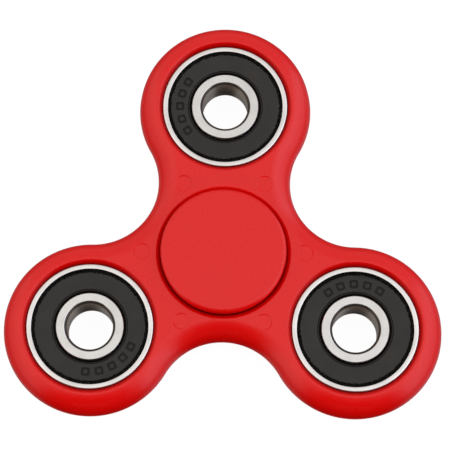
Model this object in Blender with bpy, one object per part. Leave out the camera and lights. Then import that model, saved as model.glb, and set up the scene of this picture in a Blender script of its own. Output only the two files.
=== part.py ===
"""A three-lobed hand spinner: a moulded frame on a centre bearing, held between two finger caps,
with a sealed bearing pressed into each lobe as a weight.

The part lies flat. Its origin is the centre of the lower cap's outer face, +Z is the spin axis, and one
lobe points along +Y. Every bearing is the same size and is drawn about its own middle.
"""

import math

import bmesh
import bpy
from mathutils import Matrix

MM = 0.001

# Driving dimensions of the frame
LOBE_PITCH_RADIUS = 26.5 * MM
LOBE_RADIUS = 15.1 * MM
FRAME_THICKNESS = 8.0 * MM
FRAME_EDGE_ROUND = 3.7 * MM
BORE_CHAMFER_WIDTH = 0.7 * MM
BORE_CHAMFER_DEPTH = 0.7 * MM

# Driving dimensions of the bearings
BEARING_OUTER_RADIUS = 11.0 * MM
BEARING_BORE_RADIUS = 4.0 * MM
BEARING_WIDTH = 7.0 * MM
BALL_RADIUS = 1.985 * MM
BALL_COUNT = 7

# Driving dimensions of the finger caps
CAP_RADIUS = 10.95 * MM
CAP_RISE = 1.6 * MM
CAP_EDGE_ROUND = 0.6 * MM
CAP_BOSS_RADIUS = 5.4 * MM
PIN_RADIUS = 2.3 * MM

# Clearances
PRESS_GAP = 0.1 * MM
SEAT_GAP = 0.05 * MM
RACE_GAP = 0.215 * MM
POCKET_GAP = 0.165 * MM
BEARING_TO_CAP_GAP = 0.25 * MM

# Sizes worked out from the ones above
NOTCH_RADIUS = LOBE_PITCH_RADIUS - LOBE_RADIUS
FRAME_BORE_RADIUS = BEARING_OUTER_RADIUS + PRESS_GAP
MIDDLE_HEIGHT = CAP_RISE + FRAME_THICKNESS / 2
TOTAL_HEIGHT = 2 * MIDDLE_HEIGHT
HALF_WIDTH = BEARING_WIDTH / 2
BALL_PITCH_RADIUS = (BEARING_OUTER_RADIUS + BEARING_BORE_RADIUS) / 2
RACE_RADIUS = BALL_RADIUS + RACE_GAP

# How finely round shapes are cut into flats
LOBE_STEPS = 24
NOTCH_STEPS = 8
BORE_STEPS = 40
CAP_STEPS = 36
RING_STEPS = 24
CAGE_STEPS = 28
RACE_STEPS = 4

# The lobes' bearings, by name and direction in degrees from +X
LOBE_BEARINGS = {"far": 90, "left": 210, "right": 330}

SMOOTH_BELOW = math.radians(35)


def clear_scene():
    for thing in list(bpy.data.objects):
        bpy.data.objects.remove(thing)


def material(name, colour, roughness, metallic):
    made = bpy.data.materials.new(name)
    made.use_nodes = True
    shader = made.node_tree.nodes["Principled BSDF"]
    shader.inputs["Base Color"].default_value = (*colour, 1)
    shader.inputs["Roughness"].default_value = roughness
    shader.inputs["Metallic"].default_value = metallic
    return made


def link(name, data, parent=None, location=(0, 0, 0), turn=(0, 0, 0)):
    """Adds an object, placed within its parent."""
    thing = bpy.data.objects.new(name, data)
    bpy.context.scene.collection.objects.link(thing)
    thing.parent = parent
    thing.location = location
    thing.rotation_euler = turn
    return thing


def axis_empty(name, parent=None, location=(0, 0, 0)):
    """An empty that stands on a joint's axis and carries what turns about it."""
    return link(name, None, parent, location)


def finished_mesh(name, bm, finish=None):
    """Closes off a bmesh as a smooth-shaded mesh with its sharp edges kept."""
    bmesh.ops.remove_doubles(bm, verts=bm.verts, dist=1e-8)
    bmesh.ops.recalc_face_normals(bm, faces=bm.faces)
    mesh = bpy.data.meshes.new(name)
    bm.to_mesh(mesh)
    bm.free()
    mesh.shade_smooth()
    mesh.set_sharp_from_angle(angle=SMOOTH_BELOW)
    if finish:
        mesh.materials.append(finish)
    return mesh


def turned_mesh(name, outline, steps, finish=None, closed=True):
    """Spins an outline of (radius, height) points about Z. An open outline starts and ends on the axis."""
    bm = bmesh.new()
    corners = [bm.verts.new((radius, 0, height)) for radius, height in outline]
    following = corners[1:] + corners[:1] if closed else corners[1:]
    sides = [bm.edges.new(pair) for pair in zip(corners, following)]
    bmesh.ops.spin(
        bm, geom=corners + sides, cent=(0, 0, 0), axis=(0, 0, 1), angle=math.tau, steps=steps, use_merge=True
    )
    return finished_mesh(name, bm, finish)


def arc(centre, radius, start, end, steps):
    """Points on an arc, both ends included. Angles are in radians."""
    return [
        (
            centre[0] + radius * math.cos(start + (end - start) * i / steps),
            centre[1] + radius * math.sin(start + (end - start) * i / steps),
        )
        for i in range(steps + 1)
    ]


def along(degrees, radius):
    """The point at this direction and distance from the axis."""
    return radius * math.cos(math.radians(degrees)), radius * math.sin(math.radians(degrees))


def frame_outline():
    """Round lobes joined by round notches. Lobes and notches share one pitch circle, 60 degrees apart."""
    points = []
    for direction in LOBE_BEARINGS.values():
        lobe = along(direction, LOBE_PITCH_RADIUS)
        sweep = [math.radians(direction + turn) for turn in (-120, 120)]
        points += arc(lobe, LOBE_RADIUS, *sweep, LOBE_STEPS)[:-1]
        notch = along(direction + 60, LOBE_PITCH_RADIUS)
        sweep = [math.radians(direction + 60 + turn) for turn in (240, 120)]
        points += arc(notch, NOTCH_RADIUS, *sweep, NOTCH_STEPS)[:-1]
    return points


def bore_cutter(name, parent, location):
    """Cuts a through bore with a chamfer at each end. It runs past both faces of the frame."""
    past = 1 * MM
    half = FRAME_THICKNESS / 2
    flare = FRAME_BORE_RADIUS + BORE_CHAMFER_WIDTH * (1 + past / BORE_CHAMFER_DEPTH)
    outline = [
        (0, half + past),
        (flare, half + past),
        (FRAME_BORE_RADIUS, half - BORE_CHAMFER_DEPTH),
        (FRAME_BORE_RADIUS, BORE_CHAMFER_DEPTH - half),
        (flare, -half - past),
        (0, -half - past),
    ]
    cutter = link(name, turned_mesh(name, outline, BORE_STEPS, closed=False), parent, location)
    cutter.hide_render = True
    cutter.display_type = "WIRE"
    return cutter


def cut_with(thing, cutter):
    cut = thing.modifiers.new("cut by " + cutter.name, "BOOLEAN")
    cut.operation = "DIFFERENCE"
    cut.object = cutter


def build_frame(rotor, finish):
    """The one-piece moulded frame: a plate with round edges and four bores."""
    bm = bmesh.new()
    base = bm.faces.new([bm.verts.new((x, y, -FRAME_THICKNESS / 2)) for x, y in frame_outline()])
    raised = bmesh.ops.extrude_face_region(bm, geom=[base], use_keep_orig=True)["geom"]
    top = [item for item in raised if isinstance(item, bmesh.types.BMVert)]
    bmesh.ops.translate(bm, verts=top, vec=(0, 0, FRAME_THICKNESS))
    rims = [edge for edge in bm.edges if edge.verts[0].co.z == edge.verts[1].co.z]
    bmesh.ops.bevel(bm, geom=rims, offset=FRAME_EDGE_ROUND, segments=4, profile=0.5, affect="EDGES")
    frame = link("body_frame", finished_mesh("body_frame", bm, finish), rotor)
    cut_with(frame, bore_cutter("centre_bore_cutter", rotor, (0, 0, 0)))
    for name, direction in LOBE_BEARINGS.items():
        place = (*along(direction, LOBE_PITCH_RADIUS), 0)
        cut_with(frame, bore_cutter(name + "_bore_cutter", rotor, place))


def outer_ring_outline():
    """Cross-section of an outer ring, with its ball race and a seat for a cover at each end."""
    seat_radius, seat_height = 10.1 * MM, 2.6 * MM
    land_radius = 8.75 * MM
    reach = math.acos((land_radius - BALL_PITCH_RADIUS) / RACE_RADIUS)
    race = arc((BALL_PITCH_RADIUS, 0), RACE_RADIUS, -reach, reach, RACE_STEPS)
    upper = [
        (land_radius, seat_height),
        (seat_radius, seat_height),
        (seat_radius, HALF_WIDTH),
        (BEARING_OUTER_RADIUS, HALF_WIDTH),
    ]
    lower = [(radius, -height) for radius, height in reversed(upper)]
    return lower + race + upper


def inner_ring_outline():
    """Cross-section of an inner ring, with its ball race and a step at each end for the cover's lip."""
    end_radius, land_radius = 5.85 * MM, 6.2 * MM
    step_height, land_height = 2.45 * MM, 2.25 * MM
    reach = math.acos((BALL_PITCH_RADIUS - land_radius) / RACE_RADIUS)
    race = arc((BALL_PITCH_RADIUS, 0), RACE_RADIUS, math.pi + reach, math.pi - reach, RACE_STEPS)
    upper = [
        (land_radius, land_height),
        (end_radius, step_height),
        (end_radius, HALF_WIDTH),
        (BEARING_BORE_RADIUS, HALF_WIDTH),
    ]
    lower = [(radius, -height) for radius, height in reversed(upper)]
    return lower + race + upper


def seal_outline():
    """Cross-section of a rubber seal: a low bead in the ring's seat, a flat face, and a low inner lip."""
    face, low, under = 3.3 * MM, 3.05 * MM, 2.7 * MM
    outer, inner = 10.0 * MM, 5.98 * MM
    return [
        (outer, low),
        (outer, under),
        (inner, under),
        (inner, low),
        (6.3 * MM, low),
        (6.45 * MM, face),
        (9.35 * MM, face),
        (9.45 * MM, low),
    ]


def shield_outline():
    """Cross-section of a thin pressed steel shield, dished towards its hole."""
    return [
        (10.0 * MM, 3.1 * MM),
        (10.0 * MM, 2.75 * MM),
        (9.2 * MM, 2.9 * MM),
        (6.05 * MM, 2.9 * MM),
        (6.05 * MM, 3.2 * MM),
        (9.2 * MM, 3.2 * MM),
    ]


def cage_mesh(finish):
    """A crown cage: a ring with a radial pocket for each ball, open towards its lower side."""
    inner, outer = 6.7 * MM, 8.3 * MM
    back, prong = 2.5 * MM, -0.8 * MM
    pocket = BALL_RADIUS + POCKET_GAP
    outline = [(outer, prong), (inner, prong), (inner, back), (outer, back)]
    ring = link("cage_blank", turned_mesh("cage_blank", outline, CAGE_STEPS, finish))
    cutter_mesh = bmesh.new()
    for index in range(BALL_COUNT):
        made = bmesh.ops.create_cone(
            cutter_mesh, cap_ends=True, segments=16, radius1=pocket, radius2=pocket, depth=4 * MM
        )
        direction = 360 * index / BALL_COUNT
        bmesh.ops.rotate(cutter_mesh, verts=made["verts"], matrix=rotation(90, "Y"))
        bmesh.ops.translate(cutter_mesh, verts=made["verts"], vec=(BALL_PITCH_RADIUS, 0, 0))
        bmesh.ops.rotate(cutter_mesh, verts=made["verts"], matrix=rotation(direction, "Z"))
    cutter = link("pocket_cutter", finished_mesh("pocket_cutter", cutter_mesh))
    cut_with(ring, cutter)
    graph = bpy.context.evaluated_depsgraph_get()
    mesh = bpy.data.meshes.new_from_object(ring.evaluated_get(graph))
    mesh.name = "cage"
    mesh.set_sharp_from_angle(angle=SMOOTH_BELOW)
    for helper in (ring, cutter):
        bpy.data.objects.remove(helper)
    return mesh


def rotation(degrees, axis):
    return Matrix.Rotation(math.radians(degrees), 3, axis)


def ball_mesh(finish):
    bm = bmesh.new()
    bmesh.ops.create_icosphere(bm, subdivisions=2, radius=BALL_RADIUS)
    return finished_mesh("ball", bm, finish)


def build_bearing(name, shapes, cover, outer_carrier, inner_carrier, place):
    """One bearing: rings, two covers, a cage and its balls. The carriers are what each ring turns with."""
    over = (math.pi, 0, 0)
    axis = axis_empty(name + "_bearing_axis", outer_carrier, place)
    link(name + "_bearing_outer_ring", shapes["outer_ring"], axis)
    link(name + "_bearing_upper_" + cover, shapes[cover], axis)
    link(name + "_bearing_lower_" + cover, shapes[cover], axis, turn=over)
    link(name + "_bearing_inner_ring", shapes["inner_ring"], inner_carrier or axis)
    cage = link(name + "_bearing_cage", shapes["cage"], axis)
    for index in range(BALL_COUNT):
        spot = (*along(360 * index / BALL_COUNT, BALL_PITCH_RADIUS), 0)
        link(f"{name}_bearing_ball_{index + 1}", shapes["ball"], cage, spot)


def cap_face_outline():
    """The cap's outer face and rim, from the axis out and down to the underside.

    Heights are above the middle.
    """
    face = TOTAL_HEIGHT / 2
    under = HALF_WIDTH + BEARING_TO_CAP_GAP
    rim_round = arc(
        (CAP_RADIUS - CAP_EDGE_ROUND, face - CAP_EDGE_ROUND), CAP_EDGE_ROUND, math.pi / 2, 0, 2
    )
    boss_foot = HALF_WIDTH + SEAT_GAP
    return (
        [(0, face)]
        + rim_round
        + [(CAP_RADIUS, under), (CAP_BOSS_RADIUS, under), (CAP_BOSS_RADIUS, boss_foot)]
    )


def build_caps(hub, finish):
    """Two finger caps that push together through the centre bearing.

    The upper has a pin, the lower a sleeve.
    """
    stem = BEARING_BORE_RADIUS - 0.15 * MM
    socket = PIN_RADIUS + 0.15 * MM
    shoulder, sleeve_end = 1.8 * MM, 1.5 * MM
    pin_end, socket_floor = -3.3 * MM, -3.9 * MM
    boss_foot = HALF_WIDTH + SEAT_GAP
    pin_outline = cap_face_outline() + [
        (stem, boss_foot),
        (stem, shoulder),
        (PIN_RADIUS, shoulder),
        (PIN_RADIUS, pin_end + 0.4 * MM),
        (PIN_RADIUS - 0.4 * MM, pin_end),
        (0, pin_end),
    ]
    sleeve_outline = cap_face_outline() + [
        (stem, boss_foot),
        (stem, -sleeve_end),
        (socket, -sleeve_end),
        (socket, -socket_floor),
        (0, -socket_floor),
    ]
    upper = turned_mesh("upper_finger_cap", pin_outline, CAP_STEPS, finish, closed=False)
    lower = turned_mesh("lower_finger_cap", sleeve_outline, CAP_STEPS, finish, closed=False)
    link("upper_finger_cap", upper, hub)
    link("lower_finger_cap", lower, hub, turn=(math.pi, 0, 0))


def build():
    clear_scene()
    red = material("red_plastic", (0.72, 0.02, 0.02), 0.35, 0)
    steel = material("ground_steel", (0.72, 0.71, 0.69), 0.25, 1)
    ball_steel = material("ball_steel", (0.8, 0.8, 0.8), 0.08, 1)
    rubber = material("black_rubber", (0.03, 0.029, 0.027), 0.6, 0)
    nylon = material("cage_nylon", (0.75, 0.7, 0.58), 0.5, 0)

    hub = axis_empty("hub", location=(0, 0, MIDDLE_HEIGHT))
    rotor = axis_empty("rotor", hub)
    build_frame(rotor, red)
    build_caps(hub, red)

    shapes = {
        "outer_ring": turned_mesh("outer_ring", outer_ring_outline(), RING_STEPS, steel),
        "inner_ring": turned_mesh("inner_ring", inner_ring_outline(), RING_STEPS, steel),
        "seal": turned_mesh("seal", seal_outline(), RING_STEPS, rubber),
        "shield": turned_mesh("shield", shield_outline(), RING_STEPS, steel),
        "cage": cage_mesh(nylon),
        "ball": ball_mesh(ball_steel),
    }
    build_bearing("centre", shapes, "shield", rotor, hub, (0, 0, 0))
    for name, direction in LOBE_BEARINGS.items():
        place = (*along(direction, LOBE_PITCH_RADIUS), 0)
        build_bearing(name, shapes, "seal", rotor, None, place)


build()
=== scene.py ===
"""A hand spinner: a red moulded frame with a sealed ball bearing in each lobe, which turns on a centre
bearing between two finger caps. Lengths are in metres."""

import math

import bmesh
import bpy
from mathutils import Matrix, Vector


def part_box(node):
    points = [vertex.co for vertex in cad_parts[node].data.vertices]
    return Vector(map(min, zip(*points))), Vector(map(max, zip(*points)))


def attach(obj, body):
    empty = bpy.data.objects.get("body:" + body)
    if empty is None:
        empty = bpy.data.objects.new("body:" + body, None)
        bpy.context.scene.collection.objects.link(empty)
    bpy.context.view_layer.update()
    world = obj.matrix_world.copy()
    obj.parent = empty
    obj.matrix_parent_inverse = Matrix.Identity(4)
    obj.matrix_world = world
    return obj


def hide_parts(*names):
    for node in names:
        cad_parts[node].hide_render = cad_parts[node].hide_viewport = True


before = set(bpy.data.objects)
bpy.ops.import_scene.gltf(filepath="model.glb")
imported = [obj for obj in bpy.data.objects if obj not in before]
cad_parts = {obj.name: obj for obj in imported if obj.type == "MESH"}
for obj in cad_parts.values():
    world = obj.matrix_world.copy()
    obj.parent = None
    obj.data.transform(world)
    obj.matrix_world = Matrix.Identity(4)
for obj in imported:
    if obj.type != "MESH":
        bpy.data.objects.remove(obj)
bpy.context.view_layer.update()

MM = 0.001
UP = Vector((0, 0, 1))

# Sizes read from the frame
FRAME_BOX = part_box("body_frame")
FRAME_FLOOR, FRAME_FACE = FRAME_BOX[0].z, FRAME_BOX[1].z
MIDDLE_HEIGHT = (FRAME_FLOOR + FRAME_FACE) / 2
FAR_RING_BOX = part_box("far_bearing_outer_ring")
LOBE_PITCH = (FAR_RING_BOX[0].y + FAR_RING_BOX[1].y) / 2
BEARING_RADIUS = (FAR_RING_BOX[1].x - FAR_RING_BOX[0].x) / 2
BEARING_TOP = (FAR_RING_BOX[1].z - FAR_RING_BOX[0].z) / 2
LOBE_RADIUS = FRAME_BOX[1].y - LOBE_PITCH
CAP_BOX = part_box("upper_finger_cap")
CAP_RADIUS = (CAP_BOX[1].x - CAP_BOX[0].x) / 2
CAP_FACE = CAP_BOX[1].z - MIDDLE_HEIGHT

# Bearing sizes, measured from a bearing's own middle
BORE_RADIUS = 4 * MM
BORE_RIM = 0.45 * MM
INNER_FACE_RADIUS = 5.85 * MM
SEAL_SEAT_RADIUS = 10.15 * MM
OUTER_LAND_RADIUS = 8.75 * MM
INNER_LAND_RADIUS = 6.2 * MM
BALL_PITCH = 7.5 * MM
BALL_RADIUS = 1.985 * MM
RACE_RADIUS = 2.1 * MM
BALL_COUNT = 7
SEAL_BAND = 3.32 * MM
BEAD_RADIUS = 9.42 * MM

# The lobes by name: the direction of each from the spin axis, and where its seals' marks lie, in degrees
LOBES = {"far": 90, "left": 210, "right": 330}
UPPER_MARKS = {"far": 180, "left": 300, "right": 92}
LOWER_MARKS = {"far": 35, "left": 160, "right": 265}
MARK_COUNT = 5
MARK_PITCH = 17
MARK_RADIUS = 7.95 * MM


# ---- hand tools ----

def select_only(piece):
    bpy.ops.object.select_all(action="DESELECT")
    piece.select_set(True)
    bpy.context.view_layer.objects.active = piece


def edit(piece):
    select_only(piece)
    bpy.ops.object.mode_set(mode="EDIT")


def leave_edit():
    bpy.ops.object.mode_set(mode="OBJECT")


def pick(kind, test):
    """Selects the VERT, EDGE or FACE elements of the mesh in edit mode that pass the test."""
    bpy.ops.mesh.select_mode(type=kind)
    bpy.ops.mesh.select_all(action="DESELECT")
    shape = bmesh.from_edit_mesh(bpy.context.object.data)
    for element in {"VERT": shape.verts, "EDGE": shape.edges, "FACE": shape.faces}[kind]:
        if test(element):
            element.select_set(True)
    bmesh.update_edit_mesh(bpy.context.object.data)


def ends_at(height):
    """A test for edges that lie level at this height."""
    return lambda edge: all(abs(corner.co.z - height) < 0.001 * MM for corner in edge.verts)


def point_at(name, place):
    """Starts a piece as a single point, left selected in edit mode."""
    bpy.ops.object.select_all(action="DESELECT")
    bpy.ops.mesh.primitive_plane_add(size=MM, location=(0, 0, 0))
    piece = bpy.context.object
    piece.name = name
    bpy.ops.object.mode_set(mode="EDIT")
    bpy.ops.mesh.select_mode(type="VERT")
    bpy.ops.mesh.select_all(action="SELECT")
    bpy.ops.mesh.merge(type="CENTER")
    bpy.ops.transform.translate(value=place)
    return piece


def turned(name, profile, closed=True, steps=144, break_edges=0.0, broken=lambda point: True):
    """Draws a profile of (radius, height) points by extruding one point, and spins it about the Z axis.
    Corners of the profile that pass the broken test are rounded by break_edges first."""
    piece = point_at(name, (profile[0][0], 0, profile[0][1]))
    path = list(profile) + ([profile[0]] if closed else [])
    for start, stop in zip(path, path[1:]):
        step = (stop[0] - start[0], 0, stop[1] - start[1])
        bpy.ops.mesh.extrude_vertices_move(TRANSFORM_OT_translate={"value": step})
    bpy.ops.mesh.select_all(action="SELECT")
    bpy.ops.mesh.remove_doubles(threshold=0.0005 * MM)
    if break_edges:
        pick("VERT", lambda corner: len(corner.link_edges) == 2 and broken(corner.co))
        bpy.ops.mesh.bevel(offset=break_edges, segments=3, affect="VERTICES")
    bpy.ops.mesh.select_all(action="SELECT")
    bpy.ops.mesh.spin(steps=steps, angle=math.tau, center=(0, 0, 0), axis=UP)
    close_up(piece)
    return piece


def close_up(piece):
    """Merges what meets and points every face outwards."""
    bpy.ops.mesh.select_all(action="SELECT")
    bpy.ops.mesh.remove_doubles(threshold=0.0005 * MM)
    bpy.ops.mesh.normals_make_consistent(inside=False)
    leave_edit()


def arc(centre, radius, start, stop, steps):
    """Points on an arc of a profile, both ends included, with angles in degrees."""
    turns = [math.radians(start + (stop - start) * i / steps) for i in range(steps + 1)]
    return [(centre[0] + radius * math.cos(turn), centre[1] + radius * math.sin(turn)) for turn in turns]


def mirrored(upper):
    """A profile's upper half with its mirror image below, from the bottom up."""
    return [(radius, -height) for radius, height in reversed(upper)] + upper


def combine(piece, tool, operation):
    """Cuts or joins a piece with a tool, which is used up."""
    select_only(piece)
    join = piece.modifiers.new(operation.lower(), "BOOLEAN")
    join.operation = operation
    join.object = tool
    bpy.ops.object.modifier_apply(modifier=join.name)
    bpy.data.objects.remove(tool)


def smooth(piece, angle=30):
    select_only(piece)
    bpy.ops.object.shade_smooth_by_angle(angle=math.radians(angle))


def even_shading(piece):
    """Lets the large flat faces set the shading at their edges."""
    select_only(piece)
    weighted = piece.modifiers.new("even shading", "WEIGHTED_NORMAL")
    weighted.keep_sharp = True
    weighted.weight = 100
    bpy.ops.object.modifier_apply(modifier=weighted.name)


def copy_of(piece, name):
    """A copy with its own mesh."""
    select_only(piece)
    bpy.ops.object.duplicate(linked=False)
    twin = bpy.context.object
    twin.name = name
    return twin


def settle(piece, place=(0, 0, 0), turn=(0, 0, 0)):
    """Turns a piece, then moves it, and puts both into its mesh."""
    select_only(piece)
    piece.rotation_euler = turn
    piece.location = place
    bpy.ops.object.transform_apply(location=True, rotation=True, scale=True)


def remember_place(piece):
    """Keeps each point's place within its own bearing, for finishes that follow the turning."""
    kept = piece.data.attributes.new("own_place", "FLOAT_VECTOR", "POINT")
    for index, corner in enumerate(piece.data.vertices):
        kept.data[index].vector = corner.co


def around(degrees, radius, height=0.0):
    turn = math.radians(degrees)
    return Vector((radius * math.cos(turn), radius * math.sin(turn), height))


# ---- finishes ----

def node_helpers(tree):
    """Two helpers for a node tree: add a node with its inputs set or linked, and join two sockets."""

    def add(kind, inputs=None, **settings):
        node = tree.nodes.new("ShaderNode" + kind)
        for key, value in settings.items():
            setattr(node, key, value)
        for key, value in (inputs or {}).items():
            if isinstance(value, bpy.types.NodeSocket):
                tree.links.new(value, node.inputs[key])
            else:
                node.inputs[key].default_value = value
        return node

    def join(output, socket):
        tree.links.new(output, socket)

    return add, join


def finish(name):
    """A new material, its shader and the helpers that add to it."""
    made = bpy.data.materials.new(name)
    made.use_nodes = True
    return made, made.node_tree.nodes["Principled BSDF"], *node_helpers(made.node_tree)


def ramp(add, value, stops):
    """A colour ramp with the given (position, colour) stops."""
    node = add("ValToRGB", {"Fac": value})
    marks = node.color_ramp.elements
    while len(marks) < len(stops):
        marks.new(0.5)
    for mark, (position, colour) in zip(marks, stops):
        mark.position = position
        mark.color = (*colour, 1) if len(colour) == 3 else colour
    return node.outputs["Color"]


def grey(level):
    return (level, level, level)


def moulded_red():
    """Glossy red plastic with a faint satin grain from the mould, slight ripple and hairline scuffs. The lips
    of the bores carry painted shade: they are painted a darker red, with less gloss."""
    made, shader, add, join = finish("moulded_red_plastic")
    place = add("TexCoord").outputs["Object"]
    cloud = add("TexNoise", {"Vector": place, "Scale": 55, "Detail": 3})
    colour = ramp(add, cloud.outputs["Fac"], [(0.3, (0.91, 0.002, 0.001)),
                                              (0.7, (0.94, 0.0025, 0.0015))])
    # Painted shade: the bore lips are painted a darker red, with less gloss
    lip = add("Attribute", attribute_name="painted_lip_shade", attribute_type="GEOMETRY").outputs["Fac"]
    lip_shaded = add("Mix", {"Factor": lip, 6: colour, 7: (0.2, 0.0004, 0.0002, 1)}, data_type="RGBA")
    join(lip_shaded.outputs[2], shader.inputs["Base Color"])
    sheen = add("MapRange", {"Value": lip, "From Max": 0.4, "To Min": 0.5, "To Max": 0.08})
    join(sheen.outputs[0], shader.inputs["Specular IOR Level"])
    mottle = add("TexNoise", {"Vector": place, "Scale": 400, "Detail": 4, "Roughness": 0.6})
    stretched = add("Mapping", {"Vector": place, "Rotation": (0, 0, 0.5), "Scale": (300, 9000, 300)})
    hairs = add("TexNoise", {"Vector": stretched.outputs["Vector"], "Scale": 1, "Detail": 1})
    scuffs = ramp(add, hairs.outputs["Fac"], [(0.69, grey(0)), (0.74, grey(1))])
    wear = add("TexNoise", {"Vector": place, "Scale": 90, "Detail": 2})
    where = ramp(add, wear.outputs["Fac"], [(0.5, grey(0)), (0.65, grey(1))])
    scuffed = add("Math", {0: scuffs, 1: where}, operation="MULTIPLY")
    base = add("MapRange", {"Value": mottle.outputs["Fac"], "From Min": 0.3, "From Max": 0.7,
                            "To Min": 0.25, "To Max": 0.32})
    rough = add("Math", {0: scuffed.outputs[0], 1: 0.12, 2: base.outputs[0]}, operation="MULTIPLY_ADD")
    join(rough.outputs[0], shader.inputs["Roughness"])
    grain = add("TexNoise", {"Vector": place, "Scale": 9000, "Detail": 2})
    fine = add("Bump", {"Height": grain.outputs["Fac"], "Strength": 0.35, "Distance": 0.004 * MM})
    ripple = add("Bump", {"Height": mottle.outputs["Fac"], "Strength": 0.3, "Distance": 0.02 * MM,
                          "Normal": fine.outputs["Normal"]})
    hair = add("Bump", {"Height": scuffed.outputs[0], "Strength": 0.2, "Distance": 0.004 * MM,
                        "Normal": ripple.outputs["Normal"]}, invert=True)
    join(hair.outputs["Normal"], shader.inputs["Normal"])
    return made


def turning_marks(add, pitch):
    """A value that changes with the distance from the bearing's own axis, as a grinding wheel leaves it."""
    own = add("Attribute", attribute_name="own_place", attribute_type="GEOMETRY")
    flat = add("VectorMath", {0: own.outputs["Vector"], 1: (1, 1, 0)}, operation="MULTIPLY")
    radius = add("VectorMath", {0: flat.outputs[0]}, operation="LENGTH")
    drift = add("TexNoise", {"Vector": own.outputs["Vector"], "Scale": 200, "Detail": 1})
    wobble = add("Math", {0: drift.outputs["Fac"], 1: 2 * pitch, 2: radius.outputs["Value"]},
                 operation="MULTIPLY_ADD")
    return add("TexNoise", {"W": wobble.outputs[0], "Scale": 1 / pitch, "Detail": 3},
               noise_dimensions="1D").outputs["Fac"], own, radius.outputs["Value"]


def ground_steel():
    """Bright ground bearing steel with fine circular grinding lines and a few dull smudges. The outer rim is
    the brightest. The bore's chamfer is painted dark and its wall a lighter brown, with less metal: painted
    shade and a painted reflection in the bore. The steel under the caps is painted a dark red brown: painted
    shade under the caps."""
    made, shader, add, join = finish("ground_bearing_steel")
    marks, own, radius = turning_marks(add, 0.06 * MM)
    smudge = add("TexNoise", {"Vector": own.outputs["Vector"], "Scale": 350, "Detail": 4})
    dulled = ramp(add, smudge.outputs["Fac"], [(0.3, grey(0.88)), (0.6, grey(1))])
    inward = add("MapRange", {"Value": radius, "From Min": 3.9 * MM, "From Max": 4.6 * MM})
    # Painted shade in the bore: its chamfer painted dark, and its wall a lighter brown as a painted
    # reflection
    inner = ramp(add, inward.outputs[0], [(0.15, (0.42, 0.32, 0.24)), (0.3, (0.09, 0.07, 0.058)),
                                          (0.72, (0.09, 0.07, 0.058)), (0.8, (0.82, 0.79, 0.76))])
    outward = add("MapRange", {"Value": radius, "From Min": 10 * MM, "From Max": 10.1 * MM})
    toned = add("Mix", {"Factor": outward.outputs[0], 6: inner, 7: (0.93, 0.88, 0.85, 1)}, data_type="RGBA")
    colour = add("Mix", {"Factor": 1.0, 6: toned.outputs[2], 7: dulled},
                 data_type="RGBA", blend_type="MULTIPLY")
    # Painted shade under the caps: the centre bearing's steel is painted a dark red brown
    cap_shade = add("Attribute", attribute_name="painted_cap_shade", attribute_type="GEOMETRY").outputs["Fac"]
    cap_shaded = add("Mix", {"Factor": cap_shade, 6: colour.outputs[2], 7: (0.25, 0.004, 0.003, 1)},
                  data_type="RGBA")
    join(cap_shaded.outputs[2], shader.inputs["Base Color"])
    # Less metal in the bore, along with the painted shade there
    bore_shade_metal = ramp(add, inward.outputs[0], [(0.72, grey(0.6)), (0.8, grey(1))])
    join(bore_shade_metal, shader.inputs["Metallic"])
    lines = add("MapRange", {"Value": marks, "From Min": 0.3, "From Max": 0.7,
                             "To Min": 0.2, "To Max": 0.36})
    join(lines.outputs[0], shader.inputs["Roughness"])
    scored = add("Bump", {"Height": marks, "Strength": 0.5, "Distance": 0.003 * MM})
    join(scored.outputs["Normal"], shader.inputs["Normal"])
    return made


def polished_steel():
    """Lapped steel of the balls, with a faint oily film."""
    made, shader, add, join = finish("polished_ball_steel")
    place = add("TexCoord").outputs["Object"]
    film = add("TexNoise", {"Vector": place, "Scale": 600, "Detail": 3})
    rough = add("MapRange", {"Value": film.outputs["Fac"], "To Min": 0.04, "To Max": 0.16})
    join(rough.outputs[0], shader.inputs["Roughness"])
    colour = ramp(add, film.outputs["Fac"], [(0.35, (0.74, 0.73, 0.71)), (0.65, (0.82, 0.82, 0.82))])
    join(colour, shader.inputs["Base Color"])
    shader.inputs["Metallic"].default_value = 1
    return made


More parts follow.
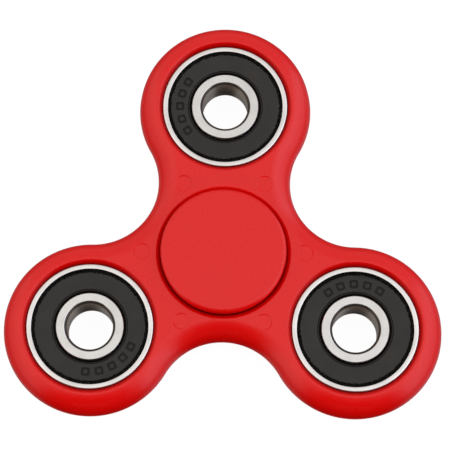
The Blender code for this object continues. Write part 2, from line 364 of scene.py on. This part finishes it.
def seal_rubber():
    """Black nitrile rubber: a fine matt grain, a soft bloom and a few specks of dust. Its low places are
    painted darker, with less gloss, as painted shade in its grooves."""
    made, shader, add, join = finish("black_seal_rubber")
    marks, own, _ = turning_marks(add, 0.25 * MM)
    level = add("SeparateXYZ", {"Vector": own.outputs["Vector"]})
    # Painted shade: the seal's low places, its grooves and sunk marks, are painted darker with less gloss
    groove_shade = add("MapRange", {"Value": level.outputs["Z"], "From Min": 3.12 * MM, "From Max": 3.26 * MM})
    bloom = add("TexNoise", {"Vector": own.outputs["Vector"], "Scale": 300, "Detail": 5})
    colour = ramp(add, bloom.outputs["Fac"], [(0.3, (0.012, 0.0085, 0.0055)),
                                              (0.7, (0.02, 0.0145, 0.01))])
    flecks = add("TexVoronoi", {"Vector": own.outputs["Vector"], "Scale": 1500})
    dust = ramp(add, flecks.outputs["Distance"], [(0.06, grey(1)), (0.1, grey(0))])
    chance = ramp(add, flecks.outputs["Color"], [(0.93, grey(0)), (0.94, grey(1))])
    dusty = add("Math", {0: dust, 1: chance}, operation="MULTIPLY")
    mixed = add("Mix", {"Factor": dusty.outputs[0], 6: colour, 7: (0.35, 0.33, 0.3, 1)},
                data_type="RGBA")
    groove_shaded = add("Mix", {"Factor": groove_shade.outputs[0], 6: (0.004, 0.0032, 0.0024, 1), 7: mixed.outputs[2]},
               data_type="RGBA")
    join(groove_shaded.outputs[2], shader.inputs["Base Color"])
    sheen = add("MapRange", {"Value": groove_shade.outputs[0], "To Min": 0.1, "To Max": 0.5})
    join(sheen.outputs[0], shader.inputs["Specular IOR Level"])
    rough = add("MapRange", {"Value": marks, "From Min": 0.3, "From Max": 0.7,
                             "To Min": 0.42, "To Max": 0.55})
    join(rough.outputs[0], shader.inputs["Roughness"])
    grain = add("TexNoise", {"Vector": own.outputs["Vector"], "Scale": 7000, "Detail": 3})
    fine = add("Bump", {"Height": grain.outputs["Fac"], "Strength": 0.5, "Distance": 0.01 * MM})
    rings = add("Bump", {"Height": marks, "Strength": 0.4, "Distance": 0.01 * MM,
                         "Normal": fine.outputs["Normal"]})
    join(rings.outputs["Normal"], shader.inputs["Normal"])
    return made


def cage_nylon():
    """Natural nylon with a dull moulded skin."""
    made, shader, add, join = finish("natural_cage_nylon")
    place = add("TexCoord").outputs["Object"]
    cloud = add("TexNoise", {"Vector": place, "Scale": 500, "Detail": 3})
    colour = ramp(add, cloud.outputs["Fac"], [(0.3, (0.68, 0.62, 0.48)), (0.7, (0.78, 0.73, 0.6))])
    join(colour, shader.inputs["Base Color"])
    shader.inputs["Roughness"].default_value = 0.48
    shader.inputs["Subsurface Weight"].default_value = 0.2
    shader.inputs["Subsurface Radius"].default_value = (MM, 0.8 * MM, 0.5 * MM)
    fine = add("Bump", {"Height": cloud.outputs["Fac"], "Strength": 0.4, "Distance": 0.01 * MM})
    join(fine.outputs["Normal"], shader.inputs["Normal"])
    return made


def dress(piece, material, body, node):
    """Gives a piece its finish, hides the CAD part it stands in for and parents it to the body it moves with.
    """
    piece.data.materials.clear()
    piece.data.materials.append(material)
    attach(piece, body)
    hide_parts(node)


# ---- the frame ----

EDGE_ROUND = 3.7 * MM
SEAM = 0.05 * MM
BORE_GAP = 0.03 * MM
BORE_CHAMFER = 0.72 * MM
EJECTOR_RADIUS = 1.45 * MM
EJECTOR_PITCH = 14.2 * MM
EJECTOR_DEPTH = 0.12 * MM
EJECTOR_SLOPE = 0.14 * MM
# The share of painted lip shade that the centre bore gets
CENTRE_LIP_SHARE = 0.3


def frame_plate():
    """One point is turned about each lobe and notch in turn, which draws the outline, and it is then raised.
    The mould's seam is left as a fine ridge half way up."""
    start = around(LOBES["far"], LOBE_PITCH) + around(LOBES["far"] - 120, LOBE_RADIUS, FRAME_FLOOR)
    plate = point_at("moulded_frame", start)
    for direction in LOBES.values():
        lobe, notch = around(direction, LOBE_PITCH), around(direction + 60, LOBE_PITCH)
        bpy.ops.mesh.spin(steps=96, angle=-math.radians(240), center=lobe, axis=UP)
        bpy.ops.mesh.spin(steps=40, angle=math.radians(120), center=notch, axis=UP)
    bpy.ops.mesh.select_all(action="SELECT")
    bpy.ops.mesh.remove_doubles(threshold=0.005 * MM)
    bpy.ops.mesh.edge_face_add()
    half = (FRAME_FACE - FRAME_FLOOR) / 2
    for rise in (half - SEAM, SEAM, SEAM, half - SEAM):
        bpy.ops.mesh.extrude_region_move(TRANSFORM_OT_translate={"value": (0, 0, rise)})
    bpy.ops.mesh.select_all(action="SELECT")
    bpy.ops.mesh.normals_make_consistent(inside=False)
    top, bottom = ends_at(FRAME_FACE), ends_at(FRAME_FLOOR)
    pick("EDGE", lambda edge: top(edge) or bottom(edge))
    bpy.ops.mesh.bevel(offset=EDGE_ROUND, segments=16, profile=0.5, affect="EDGES")
    pick("EDGE", ends_at(MIDDLE_HEIGHT))
    bpy.ops.transform.shrink_fatten(value=SEAM)
    close_up(plate)
    return plate


def bore_tool(place):
    """A cutter for a bore with a chamfer at each end, eased at its outer edge. It runs past both faces."""
    wall, top, past = BEARING_RADIUS + BORE_GAP, (FRAME_FACE - FRAME_FLOOR) / 2, 1 * MM
    eased = wall + BORE_CHAMFER - 0.1 * MM
    upper = [(wall, top - BORE_CHAMFER), (eased, top - 0.1 * MM), (eased + 0.4 * MM, top + 0.07 * MM),
             (eased + 0.4 * MM, top + past)]
    profile = [(0, -top - past)] + mirrored(upper) + [(0, top + past)]
    tool = turned("bore tool", profile, closed=False)
    settle(tool, place)
    return tool


def ejector_tool(place, turn):
    """A cutter for the shallow round mark that an ejector pin leaves. Its side slopes."""
    profile = [(0, -EJECTOR_DEPTH), (EJECTOR_RADIUS - EJECTOR_SLOPE, -EJECTOR_DEPTH),
               (EJECTOR_RADIUS + EJECTOR_SLOPE, EJECTOR_DEPTH), (0, EJECTOR_DEPTH)]
    tool = turned("ejector tool", profile, closed=False, steps=64)
    settle(tool, place, (turn, 0, 0))
    return tool


def frame_piece():
    """The plate with its four bores, and six ejector marks on each face."""
    plate = frame_plate()
    for direction, distance in [(0, 0)] + [(turn, LOBE_PITCH) for turn in LOBES.values()]:
        combine(plate, bore_tool(around(direction, distance, MIDDLE_HEIGHT)), "DIFFERENCE")
    for direction in range(0, 360, 60):
        for face, turn in ((FRAME_FACE, 0), (FRAME_FLOOR, math.pi)):
            combine(plate, ejector_tool(around(direction, EJECTOR_PITCH, face), turn), "DIFFERENCE")
    smooth(plate, 35)
    even_shading(plate)
    paint_lip_shade(plate)
    return plate


def paint_lip_shade(plate):
    """Keeps how much painted shade each point of a bore's lip gets, from 0 at its outer edge to 1 at its
    foot, by how deep in the lip it lies. The centre bore's lip gets less of it, since the cap above it
    already shades it."""
    axes = [Vector()] + [around(direction, LOBE_PITCH) for direction in LOBES.values()]
    half = (FRAME_FACE - FRAME_FLOOR) / 2
    # Painted shade: the share of darker red painted on each point of a lip
    kept = plate.data.attributes.new("painted_lip_shade", "FLOAT", "POINT")
    for index, corner in enumerate(plate.data.vertices):
        nearest = min(axes, key=lambda axis: (corner.co - axis).xy.length)
        if (corner.co - nearest).xy.length < BEARING_RADIUS + BORE_CHAMFER:
            depth = half - abs(corner.co.z - MIDDLE_HEIGHT)
            share = 1 if nearest.length else CENTRE_LIP_SHARE
            kept.data[index].value = share * min(depth / BORE_CHAMFER, 1)


# ---- the finger caps ----

CAP_RIM = 0.6 * MM
CAP_UNDER = BEARING_TOP + 0.3 * MM
BOSS_RADIUS = 5.4 * MM
STEM_RADIUS = BORE_RADIUS - 0.1 * MM
PIN_RADIUS = 2.3 * MM


def cap_head():
    """A cap's profile from the middle of its face, over its rim and under to the stem."""
    rim = arc((CAP_RADIUS - CAP_RIM, CAP_FACE - CAP_RIM), CAP_RIM, 90, 0, 8)
    foot = BEARING_TOP + 0.02 * MM
    under = [(CAP_RADIUS, CAP_UNDER + 0.15 * MM), (CAP_RADIUS - 0.15 * MM, CAP_UNDER)]
    boss = [(BOSS_RADIUS, CAP_UNDER), (BOSS_RADIUS, foot), (STEM_RADIUS, foot)]
    return [(0, CAP_FACE)] + rim + under + boss


def upper_cap():
    """The upper cap's stem steps down to a pin with a lead-in."""
    shoulder, tip, lead = 1.75 * MM, -3.3 * MM, 0.5 * MM
    pin = [(STEM_RADIUS, shoulder), (PIN_RADIUS, shoulder), (PIN_RADIUS, tip + lead),
           (PIN_RADIUS - lead, tip), (0, tip)]
    return turned("upper_cap", cap_head() + pin, closed=False)


def lower_cap():
    """The lower cap's stem is a sleeve that takes the pin. It is drawn the same way up as the upper one."""
    mouth, floor, socket = -1.5 * MM, 3.8 * MM, PIN_RADIUS + 0.1 * MM
    sleeve = [(STEM_RADIUS, mouth), (socket + 0.3 * MM, mouth), (socket, mouth + 0.3 * MM),
              (socket, floor), (0, floor)]
    return turned("lower_cap", cap_head() + sleeve, closed=False)


# ---- the bearings, each drawn about its own middle ----

def outer_ring():
    """A ground ring with rounded outer corners, a seat for each seal and a ball race."""
    corner, seat = 0.2 * MM, 2.55 * MM
    reach = math.degrees(math.acos((OUTER_LAND_RADIUS - BALL_PITCH) / RACE_RADIUS))
    upper = [(OUTER_LAND_RADIUS, seat), (SEAL_SEAT_RADIUS, seat), (SEAL_SEAT_RADIUS, BEARING_TOP)]
    upper += arc((BEARING_RADIUS - corner, BEARING_TOP - corner), corner, 90, 0, 4)
    race = arc((BALL_PITCH, 0), RACE_RADIUS, -reach, reach, 14)
    lower = [(radius, -height) for radius, height in reversed(upper)]
    ring = turned("outer_ring", lower + race + upper, break_edges=0.05 * MM,
                  broken=lambda point: abs(point.x - SEAL_SEAT_RADIUS) < 0.01 * MM)
    smooth(ring)
    even_shading(ring)
    return ring


def inner_ring():
    """A ground ring with chamfered bore edges, a step for the seal's lip and a ball race."""
    step_top, step_foot, corner, ease = 2.5 * MM, 2.3 * MM, 0.08 * MM, 0.06 * MM
    rim = BORE_RADIUS + BORE_RIM
    reach = math.degrees(math.acos((BALL_PITCH - INNER_LAND_RADIUS) / RACE_RADIUS))
    upper = [(INNER_LAND_RADIUS, step_foot), (INNER_FACE_RADIUS, step_top),
             (INNER_FACE_RADIUS, BEARING_TOP - corner), (INNER_FACE_RADIUS - corner, BEARING_TOP),
             (rim + ease, BEARING_TOP), (rim - ease, BEARING_TOP - ease),
             (BORE_RADIUS + ease, BEARING_TOP - BORE_RIM + ease),
             (BORE_RADIUS, BEARING_TOP - BORE_RIM - ease)]
    race = arc((BALL_PITCH, 0), RACE_RADIUS, 180 + reach, 180 - reach, 14)
    lower = [(radius, -height) for radius, height in reversed(upper)]
    ring = turned("inner_ring", lower + race + upper)
    smooth(ring, 20)
    even_shading(ring)
    return ring


def seal():
    """A rubber-faced seal: an uneven bead in the ring's seat, a raised band with a row of marks, a step and
    a lip."""
    band = SEAL_BAND
    profile = [
        (9.9 * MM, 2.62 * MM), (10.08 * MM, 2.75 * MM), (10.1 * MM, 2.98 * MM), (9.95 * MM, 3.04 * MM),
        (9.8 * MM, 2.98 * MM), (9.62 * MM, 3.02 * MM), (9.52 * MM, band - 0.05 * MM), (9.46 * MM, band),
        (9.3 * MM, band), (6.62 * MM, band), (6.56 * MM, band - 0.14 * MM), (6.46 * MM, band - 0.14 * MM),
        (6.42 * MM, band - 0.02 * MM), (6.34 * MM, band - 0.04 * MM), (6.22 * MM, 3.0 * MM),
        (6.03 * MM, 2.9 * MM), (5.97 * MM, 2.82 * MM), (5.98 * MM, 2.7 * MM), (6.2 * MM, 2.62 * MM),
    ]
    ring = turned("seal", profile, steps=288, break_edges=0.02 * MM)
    roughen_bead(ring)
    for index in range(MARK_COUNT):
        press_mark(ring, MARK_PITCH * (index - MARK_COUNT // 2))
    smooth(ring, 40)
    even_shading(ring)
    return ring


def roughen_bead(ring):
    """Makes the rubber that is squeezed into the seat uneven."""
    bead = ring.vertex_groups.new(name="bead")
    picked = [corner.index for corner in ring.data.vertices
              if corner.co.xy.length > BEAD_RADIUS and corner.co.z > 2.9 * MM]
    bead.add(picked, 1.0, "REPLACE")
    lumps = bpy.data.textures.new("rubber lumps", "CLOUDS")
    lumps.noise_scale = 0.4 * MM
    lumps.noise_depth = 2
    select_only(ring)
    push = ring.modifiers.new("lumps", "DISPLACE")
    push.texture = lumps
    push.vertex_group = bead.name
    push.strength = 0.55 * MM
    push.mid_level = 0.5
    bpy.ops.object.modifier_apply(modifier=push.name)


def mark_block(name, direction, size, centre_height):
    """A small block over the band, with its upright edges rounded."""
    bpy.ops.object.select_all(action="DESELECT")
    bpy.ops.mesh.primitive_cube_add(size=1)
    block = bpy.context.object
    block.name = name
    block.scale = size
    block.location = (MARK_RADIUS, 0, centre_height)
    bpy.ops.object.transform_apply(location=True, rotation=True, scale=True)
    edit(block)
    pick("EDGE", lambda edge: abs(edge.verts[0].co.z - edge.verts[1].co.z) > 0.1 * MM)
    bpy.ops.mesh.bevel(offset=0.22 * size[0], segments=4, affect="EDGES")
    leave_edit()
    settle(block, turn=(0, 0, math.radians(direction)))
    return block


def press_mark(ring, direction):
    """One plain mark of the row: a sunk block with a raised block in its middle."""
    sunk = (1.45 * MM, 1.5 * MM, 0.28 * MM)
    raised = (0.7 * MM, 0.68 * MM, 0.3 * MM)
    combine(ring, mark_block("sunk mark", direction, sunk, SEAL_BAND), "DIFFERENCE")
    combine(ring, mark_block("raised mark", direction, raised, SEAL_BAND - 0.17 * MM), "UNION")


def shield():
    """A thin pressed steel shield, dished towards its hole."""
    profile = [(10.08 * MM, 3.12 * MM), (10.08 * MM, 2.8 * MM), (9.3 * MM, 2.88 * MM), (9.0 * MM, 3.0 * MM),
               (6.5 * MM, 3.0 * MM), (6.3 * MM, 2.9 * MM), (6.02 * MM, 2.9 * MM),
               (6.02 * MM, 3.12 * MM), (6.25 * MM, 3.12 * MM), (6.45 * MM, 3.22 * MM), (9.05 * MM, 3.22 * MM),
               (9.35 * MM, 3.1 * MM)]
    ring = turned("shield", profile, break_edges=0.04 * MM)
    smooth(ring)
    return ring


def crown_cage():
    """A moulded ring with a round pocket for each ball, open on its lower side."""
    inner, outer, back, prong = 6.7 * MM, 8.3 * MM, 2.45 * MM, -0.85 * MM
    cage = turned("cage", [(outer, prong), (inner, prong), (inner, back), (outer, back)],
                  break_edges=0.15 * MM, steps=168)
    for index in range(BALL_COUNT):
        bpy.ops.object.select_all(action="DESELECT")
        bpy.ops.mesh.primitive_uv_sphere_add(
            segments=40, ring_count=24, radius=BALL_RADIUS + 0.1 * MM,
            location=around(360 * index / BALL_COUNT, BALL_PITCH))
        combine(cage, bpy.context.object, "DIFFERENCE")
    smooth(cage, 40)
    return cage


def ball():
    """A lapped ball, drawn as a half circle and turned."""
    made = turned("ball", arc((0, 0), BALL_RADIUS, -90, 90, 20), closed=False, steps=40)
    smooth(made, 60)
    return made


def place_bearing(name, shapes, finishes, cover, spinning_body, place):
    """Copies one bearing's pieces into place. The spinning body is what its inner ring turns with."""
    steel, polished, rubber, nylon = finishes
    centre = place + Vector((0, 0, MIDDLE_HEIGHT))
    cover_finish, cover_slot = (rubber, "black_rubber") if cover == "seal" else (steel, "ground_steel")

    def put(shape, part, finish_of, body, at=centre, turn=(0, 0, 0)):
        node = f"{name}_bearing_{part}"
        piece = copy_of(shapes[shape], node + "_fine")
        if name == "centre":
            # Painted shade: marks the centre bearing's steel for the dark red brown painted under the caps
            cap_shade = piece.data.attributes.new("painted_cap_shade", "FLOAT", "POINT")
            cap_shade.data.foreach_set("value", [1.0] * len(piece.data.vertices))
        settle(piece, at, turn)
        dress(piece, finish_of, body, node)

    put("outer_ring", "outer_ring", steel, "rotor")
    put("inner_ring", "inner_ring", steel, spinning_body)
    upper = math.radians(UPPER_MARKS.get(name, 0))
    lower = math.radians(LOWER_MARKS.get(name, 0))
    put(cover, "upper_" + cover, cover_finish, "rotor", turn=(0, 0, upper))
    put(cover, "lower_" + cover, cover_finish, "rotor", turn=(math.pi, 0, lower))
    put("cage", "cage", nylon, name + "_cage")
    for index in range(BALL_COUNT):
        spot = centre + around(360 * index / BALL_COUNT, BALL_PITCH)
        body = f"{name}_ball_{index + 1}"
        put("ball", f"ball_{index + 1}", polished, body, at=spot)


# ---- stage, light and camera ----

CAMERA_DISTANCE = 403.4 * MM
CAMERA_TILT = math.radians(12.79)
CAMERA_TURN = math.radians(0.9)
CAMERA_ROLL = math.radians(-0.07)
AXIS_TOP = Vector((0, 0, MIDDLE_HEIGHT + BEARING_TOP))
LOOK_AT = AXIS_TOP + Vector((0.21 * MM, 4.97 * MM, 0))
LENS = 185.5

# Light from the side of the sky against light from front to back, and light from below the floor's level
SIDE_LEVEL = 1.8
BELOW_LEVEL = 0.22


def plain_floor():
    """A pale floor that is only looked at: it neither lights the spinner nor shows in its gloss."""
    bpy.ops.object.select_all(action="DESELECT")
    bpy.ops.mesh.primitive_circle_add(vertices=96, radius=2, fill_type="NGON")
    floor = bpy.context.object
    floor.name = "floor"
    made, shader, _, _ = finish("pale_floor")
    shader.inputs["Base Color"].default_value = (0.1, 0.1, 0.1, 1)
    shader.inputs["Roughness"].default_value = 0.9
    shader.inputs["Emission Color"].default_value = (1, 1, 1, 1)
    shader.inputs["Emission Strength"].default_value = 0.96
    made.cycles.emission_sampling = "NONE"
    floor.data.materials.append(made)
    floor.visible_glossy = False
    floor.visible_diffuse = False


def soft_box():
    """A low soft box in front, aimed at the spinner. A polarising sheet over it keeps it out of the gloss."""
    place = Vector((0, -0.95, 0.3))
    bpy.ops.object.light_add(type="AREA", location=place)
    lamp = bpy.context.object
    lamp.name = "camera_side"
    lamp.data.shape = "RECTANGLE"
    lamp.data.size, lamp.data.size_y = 0.6, 0.4
    lamp.data.energy = 1.9
    lamp.visible_glossy = False
    lamp.rotation_euler = (-place).to_track_quat("-Z", "Y").to_euler()


def studio_dome():
    """A soft pale sky: bright overhead, brightest at the left and right, paler behind and dark in front."""
    world = bpy.data.worlds.new("studio_dome")
    world.use_nodes = True
    add, join = node_helpers(world.node_tree)
    way = add("SeparateXYZ", {"Vector": add("TexCoord").outputs["Generated"]})

    def across(axis):
        return add("MapRange", {"Value": way.outputs[axis], "From Min": -1, "From Max": 1}).outputs[0]

    depth = ramp(add, across("Y"), [
        (0, grey(0.02)), (0.25, grey(0.05)), (0.4, grey(0.2)), (0.5, grey(0.88)),
        (0.55, grey(0.9)), (0.65, grey(0.82)), (0.78, grey(0.62)), (1, grey(0.6))])
    side = ramp(add, across("X"), [
        (0, grey(0.36)), (0.15, grey(0.58)), (0.35, grey(0.66)), (0.65, grey(0.82)),
        (0.85, grey(0.92)), (1, grey(0.55))])
    side = add("Math", {0: side, 1: SIDE_LEVEL}, operation="MULTIPLY")
    sideways = add("Math", {0: way.outputs["X"]}, operation="ABSOLUTE")
    lengthways = add("Math", {0: way.outputs["Y"]}, operation="ABSOLUTE")
    lean = add("Math", {0: sideways.outputs[0], 1: lengthways.outputs[0]}, operation="SUBTRACT")
    share = add("MapRange", {"Value": lean.outputs[0], "From Min": -0.1, "From Max": 0.2},
                interpolation_type="SMOOTHSTEP")
    level = add("Mix", {"Factor": share.outputs[0], "A": depth, "B": side.outputs[0]}, data_type="FLOAT")
    above = add("MapRange", {"Value": way.outputs["Z"], "From Min": -0.3, "From Max": 0.1,
                             "To Min": BELOW_LEVEL, "To Max": 1})
    strength = add("Math", {0: level.outputs[0], 1: above.outputs[0]}, operation="MULTIPLY")
    tint = ramp(add, across("X"), [(0.2, (1, 0.985, 0.95)), (0.5, (1, 0.995, 0.98)),
                                   (0.8, (0.84, 0.89, 1))])
    background = world.node_tree.nodes["Background"]
    join(tint, background.inputs["Color"])
    join(strength.outputs[0], background.inputs["Strength"])
    bpy.context.scene.world = world


def studio_light():
    studio_dome()
    soft_box()
    bpy.context.scene.view_settings.view_transform = "Standard"


def camera():
    """Looks down on the spinner from a little in front of it."""
    lean = Vector((math.sin(CAMERA_TURN) * math.sin(CAMERA_TILT),
                   -math.cos(CAMERA_TURN) * math.sin(CAMERA_TILT), math.cos(CAMERA_TILT)))
    place = AXIS_TOP + lean * CAMERA_DISTANCE
    back = (place - LOOK_AT).normalized()
    right = UP.cross(back).normalized()
    turn = Matrix((right, back.cross(right), back)).transposed() @ Matrix.Rotation(CAMERA_ROLL, 3, "Z")
    bpy.ops.object.camera_add(location=place, rotation=turn.to_euler())
    eye = bpy.context.object
    eye.data.lens = LENS
    eye.data.clip_start = 0.01
    bpy.context.scene.camera = eye


def build():
    """Makes every piece and says what it rides on, then sets the stage."""
    red, steel, polished = moulded_red(), ground_steel(), polished_steel()
    rubber, nylon = seal_rubber(), cage_nylon()

    dress(frame_piece(), red, "rotor", "body_frame")
    caps = {"upper": (upper_cap(), 0), "lower": (lower_cap(), math.pi)}
    for side, (cap, turn) in caps.items():
        smooth(cap)
        even_shading(cap)
        settle(cap, (0, 0, MIDDLE_HEIGHT), (turn, 0, 0))
        dress(cap, red, "hub", side + "_finger_cap")

    shapes = {"outer_ring": outer_ring(), "inner_ring": inner_ring(), "seal": seal(), "shield": shield(),
              "cage": crown_cage(), "ball": ball()}
    for shape in shapes.values():
        remember_place(shape)
    finishes = (steel, polished, rubber, nylon)
    place_bearing("centre", shapes, finishes, "shield", "hub", Vector())
    for name, direction in LOBES.items():
        place_bearing(name, shapes, finishes, "seal", name + "_inner_ring", around(direction, LOBE_PITCH))
    for shape in shapes.values():
        bpy.data.objects.remove(shape)

    plain_floor()
    studio_light()
    camera()


build()
